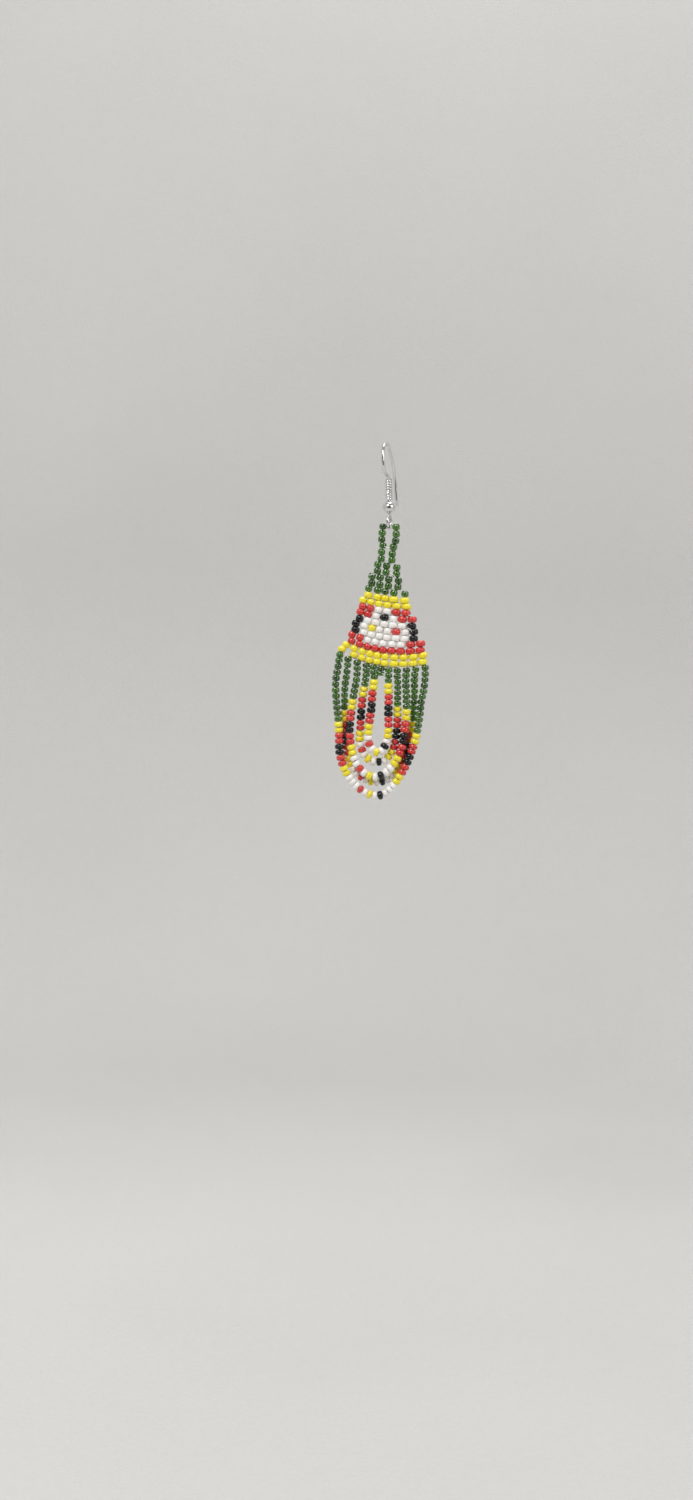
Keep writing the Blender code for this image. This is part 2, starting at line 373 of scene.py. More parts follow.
def grown(name, source, tree, values):
    """The plain mesh object that a tree grows from the source mesh with those input values."""
    seedling = placed(name + "_source", source)
    modifier = seedling.modifiers.new("grow", "NODES")
    modifier.node_group = tree
    for socket in tree.interface.items_tree:
        if socket.in_out == "INPUT" and socket.name in values:
            modifier[socket.identifier] = values[socket.name]
    depsgraph = bpy.context.evaluated_depsgraph_get()
    mesh = bpy.data.meshes.new_from_object(seedling.evaluated_get(depsgraph))
    mesh.name = name
    bpy.data.objects.remove(seedling)
    bpy.data.meshes.remove(source)
    piece = placed(name, mesh)
    report(piece)
    return piece


def report(piece):
    """Prints a piece's faces and its volume, which is above zero when its faces point outwards."""
    shape = bmesh.new()
    shape.from_mesh(piece.data)
    volume = shape.calc_volume(signed=True) / MM**3
    print(f"{piece.name}: {len(shape.faces)} faces, {volume:.1f} cubic mm")
    shape.free()


# %% [markdown]
# The source of a string of beads.
# Each point of the source is either a bead's middle or a bare stretch of thread. Three attributes travel
# with it: the glass's number, the bead's size, and how far it is turned in the panel's face. Storing them
# on points means that one tree can make the panel, the fringe and the hanging loop.

# %% Source of a string
Spot = namedtuple("Spot", "place colour girth length turn", defaults=(NO_BEAD, 0.0, 0.0, 0.0))


def source_mesh(name, lines, attributes=()):
    """A mesh of polylines with attributes on its points, each as (name, kind, values)."""
    edges = []
    start = 0
    for line in lines:
        edges += [(start + i, start + i + 1) for i in range(len(line) - 1)]
        start += len(line)
    mesh = bpy.data.meshes.new(name + "_points")
    mesh.from_pydata([place for line in lines for place in line], edges, [])
    for label, kind, values in attributes:
        field = "vector" if kind == "FLOAT_VECTOR" else "value"
        mesh.attributes.new(label, kind, "POINT").data.foreach_set(field, values)
    return mesh


def string_source(name, strings):
    """The source of some strings of beads, one for each list of spots."""
    spots = [spot for string in strings for spot in string]
    attributes = (
        ("colour", "INT", [spot.colour for spot in spots]),
        ("size", "FLOAT_VECTOR", [v for s in spots for v in (s.girth, s.girth, s.length)]),
        ("turn", "FLOAT", [spot.turn for spot in spots]),
    )
    return source_mesh(name, [[spot.place for spot in string] for string in strings], attributes)


# %% [markdown]
# The shape of one bead.
# A seed bead is a short cut of glass tube with its outer edges melted round. So the tree sweeps half a
# disc, pushed out towards a square, round a ring: its flat side is the hole, and its few points are spent
# on the outer side, which is the one that shows.

# %% Tree: shape of one bead
RING_SIDES = 10
PROFILE_POINTS = 6


def squared(tree, value, power):
    """The value with its size raised to a power and its sign kept, which pushes a circle squarer."""
    size = add_math(tree, "POWER", add_math(tree, "ABSOLUTE", value), power)
    return add_math(tree, "MULTIPLY", add_math(tree, "SIGN", value), size)


def unit_bead(tree, hole, squareness):
    """A bead one wide and one long, its hole along Z."""
    bore = add_math(tree, "MULTIPLY", hole, 0.5)
    wall = add_math(tree, "SUBTRACT", 0.5, bore)
    half_turn = {"Start Angle": -math.pi / 2, "Sweep Angle": math.pi}
    inputs = {"Resolution": PROFILE_POINTS, "Radius": 1.0, **half_turn}
    arc = result(tree, "GeometryNodeCurveArc", inputs, mode="RADIUS")
    half_disc = result(tree, "GeometryNodeSetSplineCyclic", {"Geometry": arc, "Cyclic": True})
    place = result(tree, "GeometryNodeInputPosition")
    x, y, _ = add_node(tree, "ShaderNodeSeparateXYZ", {0: place}).outputs
    # No point falls on the arc's widest place, so the arc is widened until its points reach that far
    widened = add_math(tree, "DIVIDE", x, math.cos(math.pi / 2 / (PROFILE_POINTS - 1)))
    across = add_math(tree, "MULTIPLY", squared(tree, widened, squareness), wall)
    along = add_math(tree, "MULTIPLY", squared(tree, y, squareness), 0.5)
    shape = result(tree, "ShaderNodeCombineXYZ", {0: across, 1: along})
    profile = result(tree, "GeometryNodeSetPosition", {"Geometry": half_disc, "Position": shape})
    ring = result(tree, "GeometryNodeCurvePrimitiveCircle", {"Resolution": RING_SIDES, "Radius": bore})
    return result(tree, "GeometryNodeCurveToMesh", {"Curve": ring, "Profile Curve": profile})


# %% [markdown]
# Beads on their points.
# One bead stands on each point that has a glass. It takes the stored size, follows the thread and is
# tilted a little at random. Its tone, a random number that its glass reads, is stored before the copies
# become real faces. Then a broad noise dents the glass by a few hundredths of a millimetre, so that no
# two beads are quite alike.

# %% Helpers for strung beads
DENT_SCALE = 800


def marked(tree, geometry, name, value, kind, domain):
    """The geometry with a value stored under a name."""
    inputs = {"Geometry": geometry, "Name": name, "Value": value}
    return result(tree, "GeometryNodeStoreNamedAttribute", inputs, data_type=kind, domain=domain)


def is_colour(tree, number, operation="EQUAL"):
    """Where the stored colour is that number, or compares with it as the operation says."""
    # A Compare node keeps its whole numbers in sockets 2 and 3
    inputs = {2: stored(tree, "colour", "INT"), 3: number}
    return result(tree, "FunctionNodeCompare", inputs, data_type="INT", operation=operation)


def bead_rotation(tree, given, spots):
    """Along the thread, tilted a little at random, and turned in the panel's face."""
    # A Random Value node has the limits of a vector in sockets 0 and 1, and its seed in 8
    inputs = {0: add_math(tree, "MULTIPLY", given["Tilt"], -1.0), 1: given["Tilt"], 8: given["Seed"]}
    tilt = result(tree, "FunctionNodeRandomValue", inputs, data_type="FLOAT_VECTOR")
    turn = result(tree, "ShaderNodeCombineXYZ", {1: stored(tree, "turn", "FLOAT")})
    angles = result(tree, "ShaderNodeVectorMath", {0: tilt, 1: turn}, operation="ADD")
    by = result(tree, "FunctionNodeEulerToRotation", {0: angles})
    inputs = {"Rotation": spots["Rotation"], "Rotate By": by}
    return result(tree, "FunctionNodeRotateRotation", inputs, rotation_space="GLOBAL")


def standing_beads(tree, given, route):
    """A bead with its own tone on each point of the route that has a glass."""
    spots = add_node(tree, "GeometryNodeCurveToPoints", {"Curve": route}, mode="EVALUATED").outputs
    beads = result(tree, "GeometryNodeInstanceOnPoints", {
        "Points": spots["Points"],
        "Selection": is_colour(tree, 0, "GREATER_EQUAL"),
        "Instance": unit_bead(tree, given["Hole"], given["Squareness"]),
        "Rotation": bead_rotation(tree, given, spots),
        "Scale": stored(tree, "size", "FLOAT_VECTOR"),
    })
    # The limits of a plain random number are in sockets 2 and 3, and the number comes out at 1
    limits = {2: 0.0, 3: 1.0, 8: given["Seed"]}
    tone = add_node(tree, "FunctionNodeRandomValue", limits, data_type="FLOAT").outputs[1]
    beads = marked(tree, beads, "tone", tone, "FLOAT", "INSTANCE")
    return result(tree, "GeometryNodeRealizeInstances", {"Geometry": beads})


def dented(tree, geometry, depth):
    """The surface moved in and out along its normals, by half the depth at most."""
    bumps = noise(tree, result(tree, "GeometryNodeInputPosition"), DENT_SCALE, detail=1)
    shift = add_math(tree, "MULTIPLY", add_math(tree, "SUBTRACT", bumps, 0.5), depth)
    inputs = {0: result(tree, "GeometryNodeInputNormal"), "Scale": shift}
    offset = result(tree, "ShaderNodeVectorMath", inputs, operation="SCALE")
    return result(tree, "GeometryNodeSetPosition", {"Geometry": geometry, "Offset": offset})


# %% [markdown]
# The tree that strings the beads.
# It joins the beads and their thread, a tube through all the points. The thread fills the holes, because
# the real one passes through them often. Every face first takes the thread's material, and then each
# glass is set where its own number is stored.

# %% Tree: string of beads
THREAD_SIDES = 6


def string_tree():
    sockets = (
        ("Hole", "Float", 0.17),
        ("Squareness", "Float", 0.7),
        ("Tilt", "Float", 0.06),
        ("Dents", "Float", 0.05 * MM),
        ("Thread width", "Float", 0.34 * MM),
        ("Seed", "Int", 1),
        ("Thread", "Material", None),
        *((glass.name, "Material", None) for glass in GLASSES),
    )
    tree, given = new_tree("string of beads", sockets)
    route = result(tree, "GeometryNodeMeshToCurve", {"Mesh": given["Geometry"]})
    beads = dented(tree, standing_beads(tree, given, route), given["Dents"])
    line = round_tube(tree, route, given["Thread width"], THREAD_SIDES)
    line = marked(tree, line, "colour", NO_BEAD, "INT", "POINT")
    both = add_node(tree, "GeometryNodeJoinGeometry", {0: beads})
    feed(tree, both, {0: line})
    whole = finished(tree, both.outputs[0], given["Thread"])
    for number, glass in enumerate(GLASSES):
        inputs = {"Geometry": whole, "Selection": is_colour(tree, number), "Material": given[glass.name]}
        whole = result(tree, "GeometryNodeSetMaterial", inputs)
    return close_group(tree, {0: whole})


STRING_TREE = string_tree()
bead_inputs = {glass.name: material for glass, material in zip(GLASSES, glass_materials, strict=True)}
bead_inputs["Thread"] = thread
print("string tree nodes:", len(STRING_TREE.nodes))

# %% [markdown]
# Places in the drop.
# The beadwork is laid out in millimetres from the drop's pivot, the point of the eye about which it
# swings. Smooth routes come from a few given points and a curve that passes through all of them,
# and beads are then laid along the route one after the other, as a threader would push them up.

# %% Helpers for places and routes
def in_drop(x, y, z):
    """A point of the drop, in millimetres from its pivot, in the frame's metres."""
    return PIVOT + Vector((x, y, z)) * MM


def smoothed(points, steps):
    """Points on a smooth curve through the given ones, with that many steps between each two."""
    points = [Vector(p) for p in points]
    ends = [2 * points[0] - points[1], *points, 2 * points[-1] - points[-2]]
    curve = []
    for i in range(1, len(ends) - 2):
        a, b, c, d = ends[i - 1 : i + 3]
        for step in range(steps):
            t = step / steps
            bend = (2 * a - 5 * b + 4 * c - d) * t**2
            twist = (3 * b - a - 3 * c + d) * t**3
            curve.append(0.5 * (2 * b + (c - a) * t + bend + twist))
    return curve + [points[-1]]


def route_length(route):
    return sum((b - a).length for a, b in zip(route, route[1:]))


def distance_to_height(route, height):
    """How far along the route it first comes down to that height."""
    reached = 0.0
    for a, b in zip(route, route[1:]):
        if b.z <= height:
            return reached + (b - a).length * (a.z - height) / (a.z - b.z)
        reached += (b - a).length
    return reached


def at_distance(route, distance):
    """The point of a route that far along it."""
    for a, b in zip(route, route[1:]):
        piece = (b - a).length
        if distance <= piece:
            return a.lerp(b, distance / piece)
        distance -= piece
    return route[-1]


corner = smoothed(((0, 0, 0), (10, 0, 0), (10, 0, 10)), 8)
print(f"two sides of 10 mm, smoothed: {route_length(corner):.1f} mm")

# %% [markdown]
# Laying beads along a route.
# Hand-strung beads are never all one length, so each takes a slightly different share of the route and
# its width varies too. The draws come from one seeded generator, which keeps every render the same.
# The green beads are a little slimmer than the opaque ones.

# %% Beads along a route
BEAD_GIRTH = 2.1 * MM
GREEN_GIRTH = 1.86 * MM
LENGTH_SPREAD = 0.07
GIRTH_SPREAD = 0.035
HAND_SEED = 11
hand = random.Random(HAND_SEED)


def bead_girth(letter):
    """The width of one bead of that glass, a little off the usual."""
    full = GREEN_GIRTH if letter == "G" else BEAD_GIRTH
    return full * hand.uniform(1 - GIRTH_SPREAD, 1 + GIRTH_SPREAD)


def laid_beads(route, letters, start=0.0, end=None):
    """Spots for one bead per letter, side by side between two distances along the route."""
    end = route_length(route) if end is None else end
    shares = [hand.uniform(1 - LENGTH_SPREAD, 1 + LENGTH_SPREAD) for _ in letters]
    scale = (end - start) / sum(shares)
    spots = []
    reached = start
    for letter, share in zip(letters, shares, strict=True):
        length = share * scale
        place = at_distance(route, reached + length / 2)
        spots.append(Spot(place, COLOUR_NUMBERS[letter], bead_girth(letter), length))
        reached += length
    return spots


print("bead widths, mm:", [round(girth / MM, 2) for girth in (BEAD_GIRTH, GREEN_GIRTH)])

# %% [markdown]
# The woven panel.
# It is a brick stitch in pairs: nine levels, each two beads high and one column wider than the level
# above. The chart gives each level's two rows of colours and where its columns stand, in millimetres
# from the middle. The weaver's tension was uneven, so columns crowd on the left and spread on the right.
# Rows sag to one side and lift at the ends, and the beads turn with them.

# %% Chart of the panel
Level = namedtuple("Level", "upper lower columns")
PANEL_CHART = (
    Level("GG", "GG", (-1.55, 1.05)),
    Level("GGG", "GGG", (-2.25, -0.2, 2.3)),
    Level("GGGG", "GGGG", (-3.45, -1.5, 0.5, 2.8)),
    Level("GGGGG", "YYYYY", (-4.1, -2.0, -0.15, 1.95, 4.6)),
    Level("YYYYYY", "RRWWRR", (-5.3, -3.5, -1.5, 0.55, 2.75, 5.05)),
    Level("RRWKWRR", "KWWWWWK", (-5.85, -4.0, -2.0, 0.05, 2.15, 4.35, 6.6)),
    Level("KWYWWRWK", "KWWWWWWK", (-6.75, -4.75, -2.85, -1.0, 0.95, 2.95, 5.1, 7.2)),
    Level("RRWWWWWRR", "RRRRRRRRR", (-7.5, -5.6, -3.7, -1.85, 0.05, 2.1, 4.3, 6.6, 8.9)),
    Level("YYYYYYYYYY", "YYYYYYYYYY", (-8.77, -6.76, -4.86, -3.0, -1.2, 0.65, 2.9, 5.1, 7.4, 9.62)),
)
ROWS_A_LEVEL = 2
BEAD_ROW = 1.54 * MM
LEVEL_H = ROWS_A_LEVEL * BEAD_ROW
PANEL_DROP = 5.2 * MM
PANEL_HALF = 10.5 * MM
ROW_TILT = -0.105
ROW_LIFT = 2.1 * MM
PANEL_BOW = 1.5 * MM
MOST_COLUMNS = len(PANEL_CHART[-1].columns)


def row_lift(x, columns):
    """How far a row stands above its middle at x, by its tilt and its lifted ends."""
    return ROW_TILT * x + ROW_LIFT * columns / MOST_COLUMNS * (x / PANEL_HALF) ** 2


def row_turn(x, columns):
    """The angle that turns a bead's width along its row at x."""
    slope = ROW_TILT + 2 * ROW_LIFT * columns / MOST_COLUMNS * x / PANEL_HALF**2
    return -math.atan(slope)


def panel_place(x, below, columns):
    """The panel's middle surface at x and a height below the pivot, both in metres."""
    y = PANEL_BOW * ((x - PANEL_HALF) / (2 * PANEL_HALF)) ** 2
    return PIVOT + Vector((x, y, row_lift(x, columns) - below))


def level_top(number):
    """How far below the pivot a level's upper border runs."""
    return PANEL_DROP + number * LEVEL_H


PANEL_BOTTOM = level_top(len(PANEL_CHART))
print("beads in the panel:", sum(len(level.upper) + len(level.lower) for level in PANEL_CHART))

# %% [markdown]
# From the chart to pairs of beads.
# A bead is as wide as the room between its neighbours allows, and stands a few hundredths of a millimetre
# off its place. The leftmost yellow pair of the last level has slipped out of line and lies askew, so its
# two places are listed.

# %% Columns of the panel
PANEL_GIRTH_MOST = 2.36 * MM
PANEL_GIRTH_LEAST = 1.9 * MM
PANEL_GIRTH_SHARES = (1.0, 1.03)
PANEL_LENGTH = 1.6 * MM
PANEL_LENGTH_SHARES = (0.97, 1.02)
JITTER = 0.05 * MM
SLIPPED_COLUMN = (len(PANEL_CHART) - 1, 0)
SLIPPED_PAIR = ((-8.72, 1.3, -28.25), (-9.66, 1.3, -29.3))


def column_girths(columns):
    """The width that each column's beads can have between their neighbours."""
    gaps = [b - a for a, b in zip(columns, columns[1:])]
    rooms = [gaps[0], *((a + b) / 2 for a, b in zip(gaps, gaps[1:])), gaps[-1]]
    return [min(max(room * MM, PANEL_GIRTH_LEAST), PANEL_GIRTH_MOST) for room in rooms]


def pair_of_beads(number, column, girth):
    """The spots of one column's two beads, the upper one first."""
    level = PANEL_CHART[number]
    count = len(level.columns)
    x = level.columns[column] * MM
    spots = []
    for half, letters in enumerate((level.upper, level.lower)):
        shift = Vector([hand.uniform(-JITTER, JITTER) for _ in range(3)])
        place = panel_place(x, level_top(number) + (half + 0.5) * BEAD_ROW, count) + shift
        turn = row_turn(x, count)
        if (number, column) == SLIPPED_COLUMN:
            place = in_drop(*SLIPPED_PAIR[half])
            turn = 0.0
        letter = letters[column]
        width = girth * hand.uniform(*PANEL_GIRTH_SHARES)
        if letter == "G":
            width = min(width, GREEN_GIRTH)
        length = PANEL_LENGTH * hand.uniform(*PANEL_LENGTH_SHARES)
        spots.append(Spot(place, COLOUR_NUMBERS[letter], width, length, turn))
    return spots


widths = column_girths(PANEL_CHART[-1].columns)
print("bead widths in the last level, mm:", [round(width / MM, 2) for width in widths])

# %% [markdown]
# The whole panel.
# Each column is a short string: in from the border, through its two beads and out at the next border.
# Threads along each border join the columns, as the stitches of the real panel do. The stub of two green
# beads under the middle is a last short string of this piece.

# %% Panel of beads
PANEL_SEED = 3
PANEL_TILT = 0.07
BORDER_LIFT = 0.05 * MM
TOP_PLACES = (-10.05, -8.1, -5.9, -3.75, -2.1, -0.15, 1.7, 3.65, 5.95, 8.2, 10.3)
STUB_PLACE = 5
STUB_BEADS = 2
STUB_LENGTH = 1.2 * MM


def panel_strings():
    """A thread along each level's lower border, a string down each of its columns, and the stub."""
    strings = []
    for number, level in enumerate(PANEL_CHART):
        count = len(level.columns)
        top = level_top(number)
        border = [panel_place(x * MM, top + LEVEL_H, count) + BORDER_LIFT * UP for x in level.columns]
        strings.append([Spot(place) for place in border])
        for column, girth in enumerate(column_girths(level.columns)):
            x = level.columns[column] * MM
            ends = [Spot(panel_place(x, top + rows * BEAD_ROW, count)) for rows in (0, ROWS_A_LEVEL)]
            strings.append([ends[0], *pair_of_beads(number, column, girth), ends[1]])
    stub = [panel_place(TOP_PLACES[STUB_PLACE] * MM, PANEL_BOTTOM, MOST_COLUMNS)]
    stub.append(stub[0] - STUB_BEADS * STUB_LENGTH * UP)
    strings.append([Spot(stub[0]), *laid_beads(stub, "G" * STUB_BEADS), Spot(stub[1])])
    return strings


panel = grown(
    "panel_beads",
    string_source("panel", panel_strings()),
    STRING_TREE,
    {**bead_inputs, "Seed": PANEL_SEED, "Tilt": PANEL_TILT},
)

# %% [markdown]
# The fringe.
# Five strings of beads hang in nested loops, each from a place under the panel's left half to its twin
# under the right.
# Every string starts green, runs through yellow, red, black, red and yellow stripes to white, has one
# mixed middle and comes back up the same way. The counts of green and white beads differ, and so does the
# height at which the stripes begin on each side. Each route is a few listed points.

# %% Chart of the fringe
Fringe = namedtuple("Fringe", "left_green left_stripes white right_green right_stripes route")
STRIPES = "YYRRKKRRYY"
MIDDLE = "RWYWK"
FRINGE = (
    Fringe(12, -46.75, 3, 12, -48.45, (
        (-10.35, 1.0, -33.2), (-10.75, 0.8, -37.3), (-10.4, 0.6, -41.5), (-9.7, 0.4, -46.0),
        (-9.2, 0.3, -50.2), (-8.8, 0.2, -54.3), (-7.3, 0.1, -58.3), (-4.9, 0.0, -61.3),
        (-2.0, 0.0, -63.3), (1.2, 0.0, -63.7), (4.0, 0.0, -61.6), (6.3, 0.0, -57.8),
        (8.0, -0.1, -53.6), (9.1, -0.1, -49.2), (9.6, -0.1, -45.2), (9.85, -0.1, -41.2),
        (10.35, -0.1, -37.5), (10.45, 0.0, -34.5),
    )),
    Fringe(9, -43.85, 2, 10, -45.6, (
        (-8.2, 1.2, -34.8), (-8.5, 1.5, -38.5), (-8.35, 1.9, -42.5), (-8.15, 2.1, -46.5),
        (-7.6, 2.1, -51.0), (-6.4, 2.0, -55.9), (-4.2, 1.9, -58.9), (-1.5, 1.8, -60.4),
        (1.3, 1.8, -60.5), (3.9, 1.8, -58.9), (5.8, 1.8, -55.6), (7.2, 1.8, -51.3),
        (8.0, 1.8, -47.0), (8.15, 1.6, -42.5), (8.15, 1.1, -38.5), (7.9, 0.4, -35.2),
    )),
    Fringe(7, -41.15, 2, 8, -42.85, (
        (-5.8, 0.6, -36.0), (-6.3, 0.4, -40.0), (-6.7, 0.3, -44.5), (-6.8, 0.2, -48.8),
        (-6.2, 0.1, -52.4), (-4.9, 0.0, -56.2), (-2.5, 0.0, -58.7), (0.3, 0.0, -59.3),
        (2.7, -0.2, -57.8), (4.7, -0.4, -55.2), (5.9, -0.5, -51.8), (6.3, -0.5, -47.8),
        (6.5, -0.5, -43.8), (6.25, -0.3, -39.8), (5.9, -0.1, -36.0),
    )),
    Fringe(5, -38.0, 1, 7, -42.25, (
        (-3.6, 0.7, -35.8), (-4.05, 0.8, -39.5), (-4.25, 0.9, -43.5), (-4.25, 0.9, -47.5),
        (-4.2, 0.9, -50.8), (-3.0, 0.9, -54.2), (-0.6, 0.9, -55.7), (1.9, 0.9, -55.2),
        (3.7, 0.9, -52.8), (4.35, 0.9, -49.4), (4.45, 0.9, -45.8), (4.25, 0.8, -41.5),
        (4.05, 0.5, -37.0),
    )),
    Fringe(3, -36.25, 1, 3, -36.95, (
        (-1.6, 0.1, -36.0), (-1.85, -0.2, -39.5), (-1.9, -0.4, -43.0), (-2.25, -0.6, -47.0),
        (-2.2, -0.7, -50.8), (-0.9, -0.7, -53.1), (0.9, -0.7, -53.3), (2.05, -0.6, -51.0),
        (2.4, -0.5, -48.3), (2.2, -0.4, -44.5), (2.05, -0.2, -40.5), (1.75, 0.0, -36.6),
    )),
)


def striped_letters(fringe):
    """The colours of one string between its two green runs."""
    white = "W" * fringe.white
    return STRIPES + white + MIDDLE + white + STRIPES


print("striped beads:", [len(striped_letters(fringe)) for fringe in FRINGE])

# %% [markdown]
# Hanging the five strings.
# In brick stitch the next row hangs between the beads above, so ten columns have eleven places under them.
# The strings take the five on the left and the five on the right, and the middle one keeps a stub of two
# beads. One piece for each string keeps the parts separate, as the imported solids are.

# %% Fringe of beads
KNOT_GAP = 0.1 * MM
ROUTE_STEPS = 8
FRINGE_SEED = 20
FRINGE_TILT = 0.09


def fringe_string(fringe, places):
    """One string from knot to knot: green beads, the stripes between their two heights, green beads."""
    knots = [panel_place(x * MM, PANEL_BOTTOM, MOST_COLUMNS) for x in places]
    ends = [knot - KNOT_GAP * UP for knot in knots]
    route = smoothed([ends[0], *(in_drop(*point) for point in fringe.route), ends[1]], ROUTE_STEPS)
    whole = route_length(route)
    left = distance_to_height(route, in_drop(0, 0, fringe.left_stripes).z)
    right = whole - distance_to_height(route[::-1], in_drop(0, 0, fringe.right_stripes).z)
    spots = laid_beads(route, "G" * fringe.left_green, 0.0, left)
    spots += laid_beads(route, striped_letters(fringe), left, right)
    spots += laid_beads(route, "G" * fringe.right_green, right, whole)
    print(f"string of {whole / MM:.1f} mm, {len(spots)} beads")
    return [Spot(knots[0]), *spots, Spot(knots[1])]


fringe_pieces = []
for number, fringe in enumerate(FRINGE, 1):
    string = fringe_string(fringe, (TOP_PLACES[number - 1], TOP_PLACES[-number]))
    source = string_source(f"fringe_{number}", [string])
    values = {**bead_inputs, "Seed": FRINGE_SEED + number, "Tilt": FRINGE_TILT}
    fringe_pieces.append(grown(f"fringe_beads_{number}", source, STRING_TREE, values))


# %% [markdown]
# The hanging loop.
# Two short strands of green beads rise from the panel's first level and end beside the eye. From there
# the bare thread passes over the eye's bottom wire, so the whole drop hangs on that thread and swings on
# the wire. The strands stand either side of the hook's plane, in which the swing's axis lies.

# %% Hanging loop of beads
WIRE_D = 0.78 * MM
THREAD_D = 0.3 * MM
SEAT_GAP = 0.12 * MM
THREAD_OVER = WIRE_D / 2 + THREAD_D / 2 + SEAT_GAP
STRAND_TOP = 1.05 * MM
STRAND_SIDE = 1.62 * MM
STRAND_SIDES = (
    (1.42 * MM, -4.0 * MM), (1.84 * MM, -2.3 * MM), (1.66 * MM, -0.6 * MM), (STRAND_SIDE, STRAND_TOP)
)
STRAND_BEADS = 4
FOOT_SHARE = 0.9
FOOT_LIFT = 0.1 * MM
CROWN_IN = 0.25 * MM
CROWN_UP = 0.1 * MM
CROWN_STEPS = 4
LOOP_SEED = 41
TOP_COLUMNS = PANEL_CHART[0].columns
ACROSS_HOOK = Vector((SWING_AXIS.y, -SWING_AXIS.x, 0))


def beside_hook(side, height):
    """A point by its distance from the hook's plane and its height over the pivot."""
    return PIVOT + side * ACROSS_HOOK + height * UP


def strand(x, sign):
    """The spots of one strand, from a top column at x to the bead beside the eye."""
    foot = panel_place(x * MM * FOOT_SHARE, PANEL_DROP, len(TOP_COLUMNS)) + FOOT_LIFT * UP
    sides = [beside_hook(sign * side, height) for side, height in STRAND_SIDES]
    return laid_beads(smoothed([foot, *sides], ROUTE_STEPS), "G" * STRAND_BEADS)


def hanging_string():
    """Up the left strand, over the eye's bottom wire and down the right one."""
    left, right = (strand(x, sign) for x, sign in zip(TOP_COLUMNS, (-1, 1), strict=True))
    feet = [Spot(panel_place(x * MM, PANEL_DROP, len(TOP_COLUMNS))) for x in TOP_COLUMNS]
    half = [
        (STRAND_SIDE, STRAND_TOP),
        (STRAND_SIDE - CROWN_IN, STRAND_TOP + CROWN_UP),
        (STRAND_SIDE / 2, THREAD_OVER + THREAD_D / 2),
    ]
    whole = [(-side, height) for side, height in half] + [(0.0, THREAD_OVER), *reversed(half)]
    crown = smoothed([beside_hook(side, height) for side, height in whole], CROWN_STEPS)
    return [feet[0], *left, *(Spot(place) for place in crown), *reversed(right), feet[1]]


loop = grown(
    "hanging_loop_beads",
    string_source("hanging_loop", [hanging_string()]),
    STRING_TREE,
    {**bead_inputs, "Seed": LOOP_SEED},
)

# %% [markdown]
# The bare thread.
# A working thread weaves across the fringe a bead or two below the panel and holds the strings in a
# row, in front of some and behind others. Loose ends and stitches show as white flecks on the panel. All
# of them are thin tubes through listed points, in millimetres from the pivot.

# %% Bare thread
LOOSE_WIDTH = 0.2 * MM
STRAY_STEPS = 4
CROSSING_THREAD = (
    (-9.9, 0.6, -32.3), (-9.5, -0.1, -32.9), (-9.0, -0.1, -33.3), (-8.2, 0.7, -33.6), (-7.7, 0.2, -34.1),
    (-7.1, -0.1, -34.4), (-6.4, -0.2, -34.7), (-5.9, 0.5, -34.6), (-5.2, -0.1, -34.45), (-4.5, -0.1, -34.5),
    (-3.8, 0.6, -34.5), (-2.9, 0.5, -34.6), (-2.0, 0.3, -34.7), (-1.2, 0.3, -34.7), (-0.4, 0.2, -34.6),
    (0.3, -0.5, -34.75), (0.9, -0.5, -35.0), (1.6, 0.3, -35.1), (2.7, 0.4, -35.2), (3.7, 0.4, -35.3),
    (4.5, -0.2, -35.1), (5.2, -0.2, -35.3), (5.95, 0.4, -35.3), (6.7, -0.1, -35.2), (7.3, -0.1, -35.35),
    (8.1, 0.4, -35.3), (9.2, 0.4, -35.3), (10.3, 0.2, -35.2),
)
STRAY_THREADS = (
    ((-0.9, -0.4, -4.5), (-0.1, -0.8, -4.8), (0.5, -0.4, -4.7)),
    ((-0.8, -0.5, -7.4), (-0.4, -0.75, -7.55), (0.1, -0.5, -7.5)),
    ((0.6, -0.7, -10.7), (1.1, -0.95, -11.0), (1.7, -0.9, -11.3), (2.2, -0.6, -11.9)),
    ((-4.2, 0.1, -11.5), (-3.6, -0.3, -11.35), (-2.8, -0.4, -11.1)),
    ((5.5, -0.6, -23.6), (5.9, -0.98, -23.7), (6.4, -1.0, -24.0), (6.6, -0.75, -24.5)),
    ((-8.9, 0.3, -30.3), (-8.6, 0.05, -30.8), (-8.1, 0.2, -31.3)),
    ((3.5, -0.2, -32.8), (3.9, -0.9, -33.0), (4.8, -1.0, -33.05), (5.6, -0.9, -32.95), (6.0, -0.2, -32.8)),
    ((7.8, -0.2, -32.6), (8.2, -0.9, -32.75), (9.1, -0.95, -32.65), (9.5, -0.2, -32.4)),
    ((10.4, -0.3, -32.0), (10.9, -0.4, -32.6), (11.05, -0.45, -33.1), (10.9, -0.4, -33.5)),
    ((5.5, -0.7, -20.4), (5.9, -1.05, -20.6), (6.4, -1.0, -20.5), (6.7, -0.6, -20.9), (6.2, -0.9, -21.0)),
)


def thread_tree():
    sockets = (("Thread width", "Float", LOOSE_WIDTH), ("Thread", "Material", None))
    tree, given = new_tree("bare thread", sockets)
    route = result(tree, "GeometryNodeMeshToCurve", {"Mesh": given["Geometry"]})
    line = round_tube(tree, route, given["Thread width"], THREAD_SIDES)
    return close_group(tree, {0: finished(tree, line, given["Thread"])})


thread_routes = [
    smoothed([in_drop(*point) for point in route], STRAY_STEPS)
    for route in (CROSSING_THREAD, *STRAY_THREADS)
]
loose_thread = grown(
    "loose_thread", source_mesh("loose_thread", thread_routes), thread_tree(), {"Thread": thread}
)

# %% [markdown]
# The ear wire.
# One length of round wire makes the tail, the bow over the ear, the shank and the eye. The hook stands in
# a plane turned from the panel's face, and leans a little. A tree sweeps a round profile along the line,
# and narrows it at the two cut ends, which on the real wire are tumbled smooth.

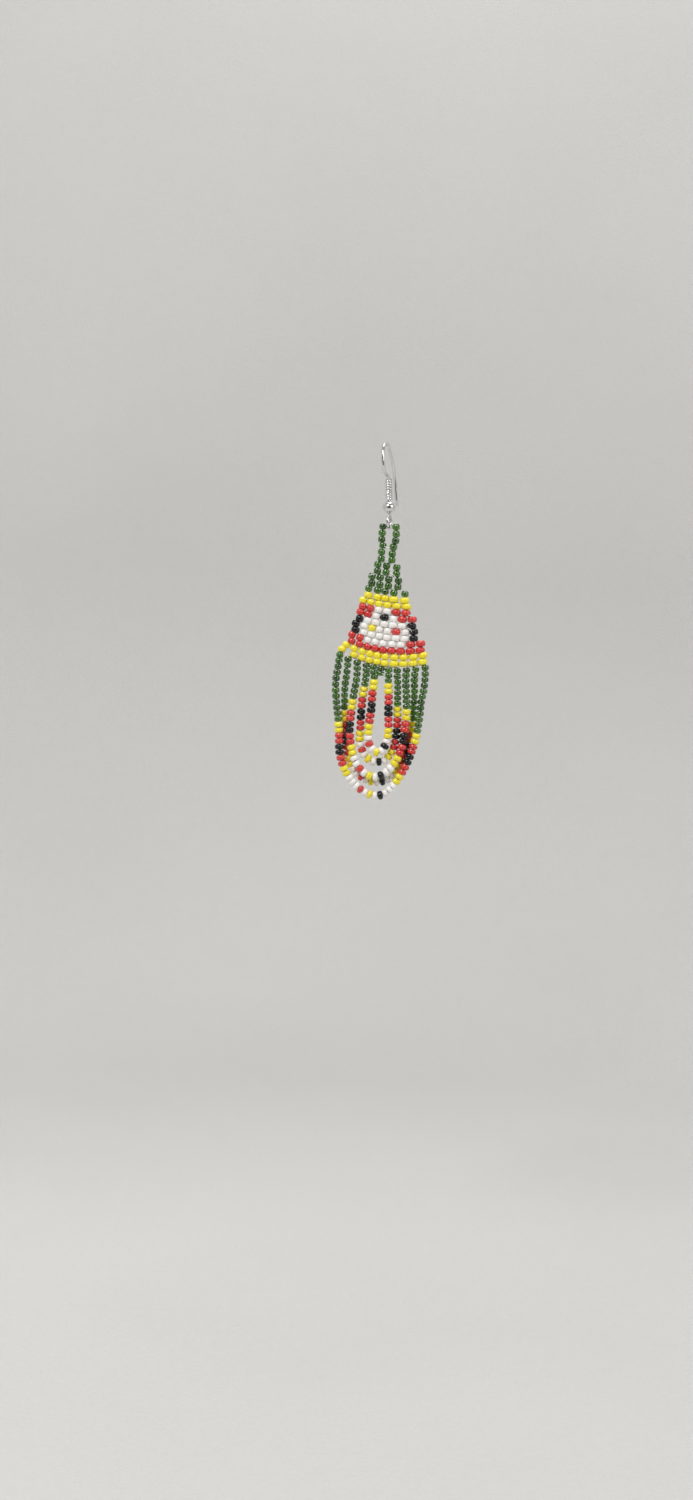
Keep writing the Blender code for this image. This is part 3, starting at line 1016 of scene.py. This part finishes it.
# %% Line of the ear wire
HOOK_REACH = 9.6 * MM
HOOK_RISE = 8.1 * MM
BEND_STEPS = 6
SHANK_LEAN = math.radians(4.3)
NECK_START = 0.058 * MM
NECK_REACH = 0.261 * MM
NECK_DROP = 0.3 * MM
EYE_R = 1.45 * MM
EYE_OPENING = math.radians(34)
EYE_START = math.radians(24)
EYE_STEPS = 40
BALL_D = 3.0 * MM
COIL_WIRE_D = 0.45 * MM
COIL_WIRE_SHOWN = 0.54 * MM
COIL_TURNS = 8
COIL_PITCH = 0.6 * MM
SLIDE_GAP = 0.06 * MM
HOOK_BEND = (
    (-0.035, 0.05), (-0.12, 0.07), (-0.24, 0.09), (-0.335, 0.15), (-0.405, 0.26), (-0.44, 0.41),
    (-0.448, 0.56), (-0.427, 0.70), (-0.365, 0.85), (-0.25, 0.96), (-0.125, 1.00), (0.0, 0.96),
    (0.135, 0.84), (0.28, 0.68), (0.395, 0.51), (0.49, 0.32), (0.555, 0.12), (0.605, -0.10),
    (0.635, -0.32), (0.67, -0.53), (0.735, -0.71),
)
EYE_TOP = 2 * EYE_R + WIRE_D / 2
BALL_Z = EYE_TOP + SEAT_GAP + BALL_D / 2
COIL_START = BALL_Z + BALL_D / 2 + SEAT_GAP + COIL_WIRE_D / 2
COIL_TOP = COIL_START + COIL_TURNS * COIL_PITCH + COIL_WIRE_D / 2


def hook_point(reach, height):
    """A point of the hook's plane, by its reach along the swing's axis and its height over the pivot."""
    return PIVOT + reach * SWING_AXIS + Vector((-height * math.tan(SHANK_LEAN), 0, height))


def hook_line():
    """The wire's middle line from the tail's tip to the eye's end."""
    bend = [hook_point(a * HOOK_REACH, COIL_TOP + z * HOOK_RISE) for a, z in reversed(HOOK_BEND)]
    upper = smoothed([*bend, hook_point(0, COIL_TOP - WIRE_D / 2)], BEND_STEPS)
    shank = [hook_point(0, BALL_Z), hook_point(0, EYE_TOP + WIRE_D / 4)]
    neck = [hook_point(NECK_START, EYE_TOP), hook_point(NECK_REACH, EYE_TOP - NECK_DROP)]
    sweep = math.tau - EYE_OPENING - EYE_START
    angles = [EYE_START + i / EYE_STEPS * sweep for i in range(EYE_STEPS + 1)]
    eye = [hook_point(EYE_R * math.sin(t), EYE_R * (1 + math.cos(t))) for t in angles]
    return upper + shank + neck + eye


wire_line = hook_line()
print(f"ear wire: {route_length(wire_line) / MM:.1f} mm of wire")

# %% [markdown]
# The tree that makes the wire.
# A curve could carry its own radius, but a plain mesh line with a number at each point needs no curve
# object. The number, called share, is how much of the full width the wire has there: one nearly all the
# way, and less at a few added points near each tip, which rounds it.

# %% Tree: bent wire
WIRE_SIDES = 14
TIP_SHARES = ((0.0, 0.25), (0.12, 0.62), (0.3, 0.88), (0.55, 1.0))


def wire_tree():
    tree, given = new_tree("bent wire", (("Wire width", "Float", WIRE_D), ("Metal", "Material", None)))
    route = result(tree, "GeometryNodeMeshToCurve", {"Mesh": given["Geometry"]})
    wire = round_tube(tree, route, given["Wire width"], WIRE_SIDES, share=stored(tree, "share", "FLOAT"))
    return close_group(tree, {0: finished(tree, wire, given["Metal"])})


def wire_source(line):
    """The line with rounded tips: a few points near each end carry a smaller share of the width."""
    tail = [(at_distance(line, back * WIRE_D), share) for back, share in TIP_SHARES]
    eye_end = [(at_distance(line[::-1], back * WIRE_D), share) for back, share in reversed(TIP_SHARES)]
    tip = TIP_SHARES[-1][0] * WIRE_D
    full = [(p, 1.0) for p in line if min((p - line[0]).length, (p - line[-1]).length) > tip]
    places, shares = zip(*tail, *full, *eye_end, strict=True)
    return source_mesh("wire", [places], [("share", "FLOAT", shares)])


hook = grown("ear_wire_hook", wire_source(wire_line), wire_tree(), {"Metal": silver})

# %% [markdown]
# The coil.
# Eight tight turns of finer wire are wound round the shank and hide where the bow begins. A spiral with
# equal radii is a coil, so the tree needs only its turns, pitch and radius, then stands it on the leaning
# shank. The wire is shown a little thicker than in the solid, so that the turns nearly touch.

# %% Tree: wound coil
COIL_SIDES = 8
COIL_STEPS = 20
TIP_LEAST = 0.4
TIP_GROWTH = 90


def coil_tree():
    sockets = (
        ("Turns", "Float", COIL_TURNS),
        ("Pitch", "Float", COIL_PITCH),
        ("Winding radius", "Float", WIRE_D / 2 + COIL_WIRE_SHOWN / 2),
        ("Wire width", "Float", COIL_WIRE_SHOWN),
        ("Foot", "Vector", None),
        ("Lean", "Float", 0.0),
        ("Metal", "Material", None),
    )
    tree, given = new_tree("wound coil", sockets)
    spiral = result(tree, "GeometryNodeCurveSpiral", {
        "Resolution": COIL_STEPS,
        "Rotations": given["Turns"],
        "Start Radius": given["Winding radius"],
        "End Radius": given["Winding radius"],
        "Height": add_math(tree, "MULTIPLY", given["Turns"], given["Pitch"]),
    })
    lean = result(tree, "ShaderNodeCombineXYZ", {1: given["Lean"]})
    inputs = {"Geometry": spiral, "Translation": given["Foot"], "Rotation": lean}
    stood = result(tree, "GeometryNodeTransform", inputs)
    reached = add_node(tree, "GeometryNodeSplineParameter").outputs["Factor"]
    to_tip = add_math(tree, "MINIMUM", reached, add_math(tree, "SUBTRACT", 1.0, reached))
    swelling = add_math(tree, "ADD", TIP_LEAST, add_math(tree, "MULTIPLY", to_tip, TIP_GROWTH))
    share = add_math(tree, "MINIMUM", swelling, 1.0)
    wire = round_tube(tree, stood, given["Wire width"], COIL_SIDES, share)
    return close_group(tree, {0: finished(tree, wire, given["Metal"])})


coil = grown(
    "ear_wire_coil",
    source_mesh("coil", []),
    coil_tree(),
    {"Foot": hook_point(0, COIL_START), "Lean": -SHANK_LEAN, "Metal": silver},
)

# %% [markdown]
# The ball.
# A drilled silver ball sits between the coil and the eye. It is turned like a lathe part: the arc from
# one rim of the bore round to the other, closed along the bore, is spun about the shank. The helper that
# spins a section is used again for the backdrop. Smooth shading stops at the two rims, which stay crisp.

# %% Silver ball
BALL_STEPS = 40
BALL_ARCS = 22
SHARP_ANGLE = math.radians(50)
MERGE_DISTANCE = 0.01 * MM


def spun(name, section, steps, centre=(0.0, 0.0), closed=False):
    """A smooth mesh from a section, as (reach, height), spun about an upright axis."""
    shape = bmesh.new()
    verts = [shape.verts.new((centre[0] + reach, centre[1], height)) for reach, height in section]
    pairs = zip(verts, verts[1:] + verts[:1] if closed else verts[1:])
    geometry = verts + [shape.edges.new(pair) for pair in pairs]
    turn = {"axis": UP, "cent": (*centre, 0), "steps": steps, "angle": math.tau, "use_merge": True}
    bmesh.ops.spin(shape, geom=geometry, **turn)
    bmesh.ops.remove_doubles(shape, verts=shape.verts, dist=MERGE_DISTANCE)
    if closed:
        bmesh.ops.recalc_face_normals(shape, faces=shape.faces)
    mesh = bpy.data.meshes.new(name)
    shape.to_mesh(mesh)
    shape.free()
    mesh.shade_smooth()
    return mesh


def silver_ball():
    """A drilled ball, leaned with the shank and set in its place."""
    radius = BALL_D / 2
    start = math.asin((WIRE_D / 2 + SLIDE_GAP) / radius)
    angles = [start + (math.pi - 2 * start) * i / BALL_ARCS for i in range(BALL_ARCS + 1)]
    section = [(radius * math.sin(angle), radius * math.cos(angle)) for angle in angles]
    mesh = spun("ear_wire_ball", section, BALL_STEPS, closed=True)
    mesh.transform(Matrix.Translation(hook_point(0, BALL_Z)) @ Matrix.Rotation(-SHANK_LEAN, 4, "Y"))
    mesh.set_sharp_from_angle(angle=SHARP_ANGLE)
    mesh.materials.append(silver)
    return placed("ear_wire_ball", mesh)


ball = silver_ball()
report(ball)

# %% [markdown]
# Which piece moves with which body.
# The wire, coil and ball stay in the ear. Everything made of beads and thread swings with the drop. Each
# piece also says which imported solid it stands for, and which finish of the record it takes.

# %% Bodies, replaced solids and slots
RIDES = [
    (hook, "ear_wire", "ear_hook", "metal"),
    (coil, "ear_wire", "wrap_coil", "metal"),
    (ball, "ear_wire", "round_ball", "metal"),
    (loop, "drop", "hanging_loop", "green_glass"),
    (panel, "drop", "bead_panel", "panel_glass"),
]
for number, piece in enumerate(fringe_pieces, 1):
    RIDES.append((piece, "drop", f"fringe_loop_{number}", "fringe_glass"))

for piece, body, node, slot in RIDES:
    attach(piece, body)
    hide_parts(node)

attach(loose_thread, "drop")
print("pieces:", len(RIDES) + 1)

# %% [markdown]
# Floor and backdrop.
# The photograph's ground is a pale cloth that curves up behind with no edge. A cove does that: a flat
# floor, a quarter arc and a wall. It is spun all the way round here, so the ground is as pale from the
# sides and the back, and the silver has something to reflect. The cloth's tooth is a fine bump.

# %% Pale cove
FLOOR_DROP = 184 * MM
FLOOR_Z = PIVOT.z - FLOOR_DROP
COVE_MIDDLE = (0.0, -0.15)
COVE_FLAT = 0.43
COVE_BEND = 0.22
COVE_HEIGHT = 1.0
COVE_ARCS = 12
COVE_SIDES = 96
TOOTH_SHARE = 0.3


def cloth_material():
    material, tree, shader, place = new_material("pale_cloth")
    broad = noise(tree, place, scale=5, detail=3)
    tooth = noise(tree, place, scale=1100)
    # A Mix node keeps its plain numbers in sockets 2 and 3
    mixed = result(tree, "ShaderNodeMix", {0: TOOTH_SHARE, 2: broad, 3: tooth})
    feed(tree, shader, {
        "Base Color": two_tone(tree, mixed, (0.53, 0.524, 0.509), (0.575, 0.569, 0.553), low=0.3, high=0.7),
        "Roughness": 0.9,
        "Normal": relief(tree, tooth, depth=0.3 * MM, strength=0.4),
    })
    return material


def cove():
    """The section from the floor's middle to the wall's top, spun about an upright axis."""
    section = [(0.0, FLOOR_Z)]
    for i in range(COVE_ARCS + 1):
        angle = math.pi / 2 * i / COVE_ARCS
        rise = COVE_BEND * (1 - math.cos(angle))
        section.append((COVE_FLAT + COVE_BEND * math.sin(angle), FLOOR_Z + rise))
    section.append((COVE_FLAT + COVE_BEND, FLOOR_Z + COVE_HEIGHT))
    mesh = spun("pale_cove", section, COVE_SIDES, COVE_MIDDLE)
    mesh.materials.append(cloth_material())
    return placed("pale_cove", mesh)


cove()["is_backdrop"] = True
print("floor height, mm:", round(FLOOR_Z / MM, 1))

# %% [markdown]
# A dark card.
# Silver in an all-pale room looks like paper, so a photographer stands a black card in front of it. Its
# reflection draws the dark smudge on the ball and the dark line along the wire. The card is kept out of
# the camera's own sight. It still shades the cove on its far side, a dark patch in views from behind.

# %% Dark card
CARD_WIDTH = 0.96
CARD_HEIGHT = 0.34
CARD_Y = -0.5


def dark_card():
    """A card that stands on the floor, a little behind the camera."""
    material, tree, shader, place = new_material("black_card")
    fibres = noise(tree, place, scale=400)
    feed(tree, shader, {"Base Color": two_tone(tree, fibres, (0.03, 0.03, 0.032), (0.05, 0.05, 0.052))})
    side, top = CARD_WIDTH / 2, FLOOR_Z + CARD_HEIGHT
    corners = [(-side, CARD_Y, FLOOR_Z), (side, CARD_Y, FLOOR_Z), (side, CARD_Y, top), (-side, CARD_Y, top)]
    mesh = bpy.data.meshes.new("black_card")
    mesh.from_pydata(corners, [], [(0, 1, 2, 3)])
    mesh.materials.append(material)
    card = placed("black_card", mesh)
    card.visible_camera = False
    return card


dark_card()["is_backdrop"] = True
print("card, m:", CARD_WIDTH, CARD_HEIGHT)

# %% [markdown]
# Studio light.
# Broad soft boxes inside a pale cove keep the shadows weak, as in the photograph. A key from the upper
# left in front draws the glints on the glass, a weaker box fills from the right, and a large one overhead
# lights the tops. The boxes stay out of the camera's sight, and a grey world comes in over the wall.

# %% Lights
LIT_DROP = 25 * MM
LIT_POINT = PIVOT - LIT_DROP * UP


def soft_box(name, place, size, power):
    """A square soft box that faces the middle of the earring."""
    data = bpy.data.lights.new(name, "AREA")
    data.shape = "SQUARE"
    data.size = size
    data.energy = power
    lamp = placed(name, data)
    facing = (LIT_POINT - Vector(place)).to_track_quat("-Z", "Y")
    lamp.matrix_world = Matrix.Translation(place) @ facing.to_matrix().to_4x4()
    lamp.visible_camera = False
    print(f"{name}: {power} W over {size} m")


soft_box("key_box", place=(-0.3, -0.5, 0.42), size=0.24, power=3.1)
soft_box("fill_box", place=(0.42, -0.4, 0.15), size=0.3, power=0.85)
soft_box("top_box", place=(0.05, 0.05, 0.75), size=0.5, power=4.15)

world = bpy.data.worlds.new("grey_room")
world.use_nodes = True
room = world.node_tree.nodes["Background"]
feed(world.node_tree, room, {"Color": (0.72, 0.73, 0.75, 1), "Strength": 0.4})
bpy.context.scene.world = world
bpy.context.scene.view_settings.view_transform = "Standard"

# %% [markdown]
# Sizes, and the end of the script.
# Both boxes, of the solids and of the dressed earring, are printed side by side.

# %% Print both boxes
visual_box = [list(corner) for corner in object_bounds()]
for name, box in (("solids", CAD_BOX), ("dressed", visual_box)):
    print(name, [round((high - low) / MM, 1) for low, high in zip(*box, strict=True)])
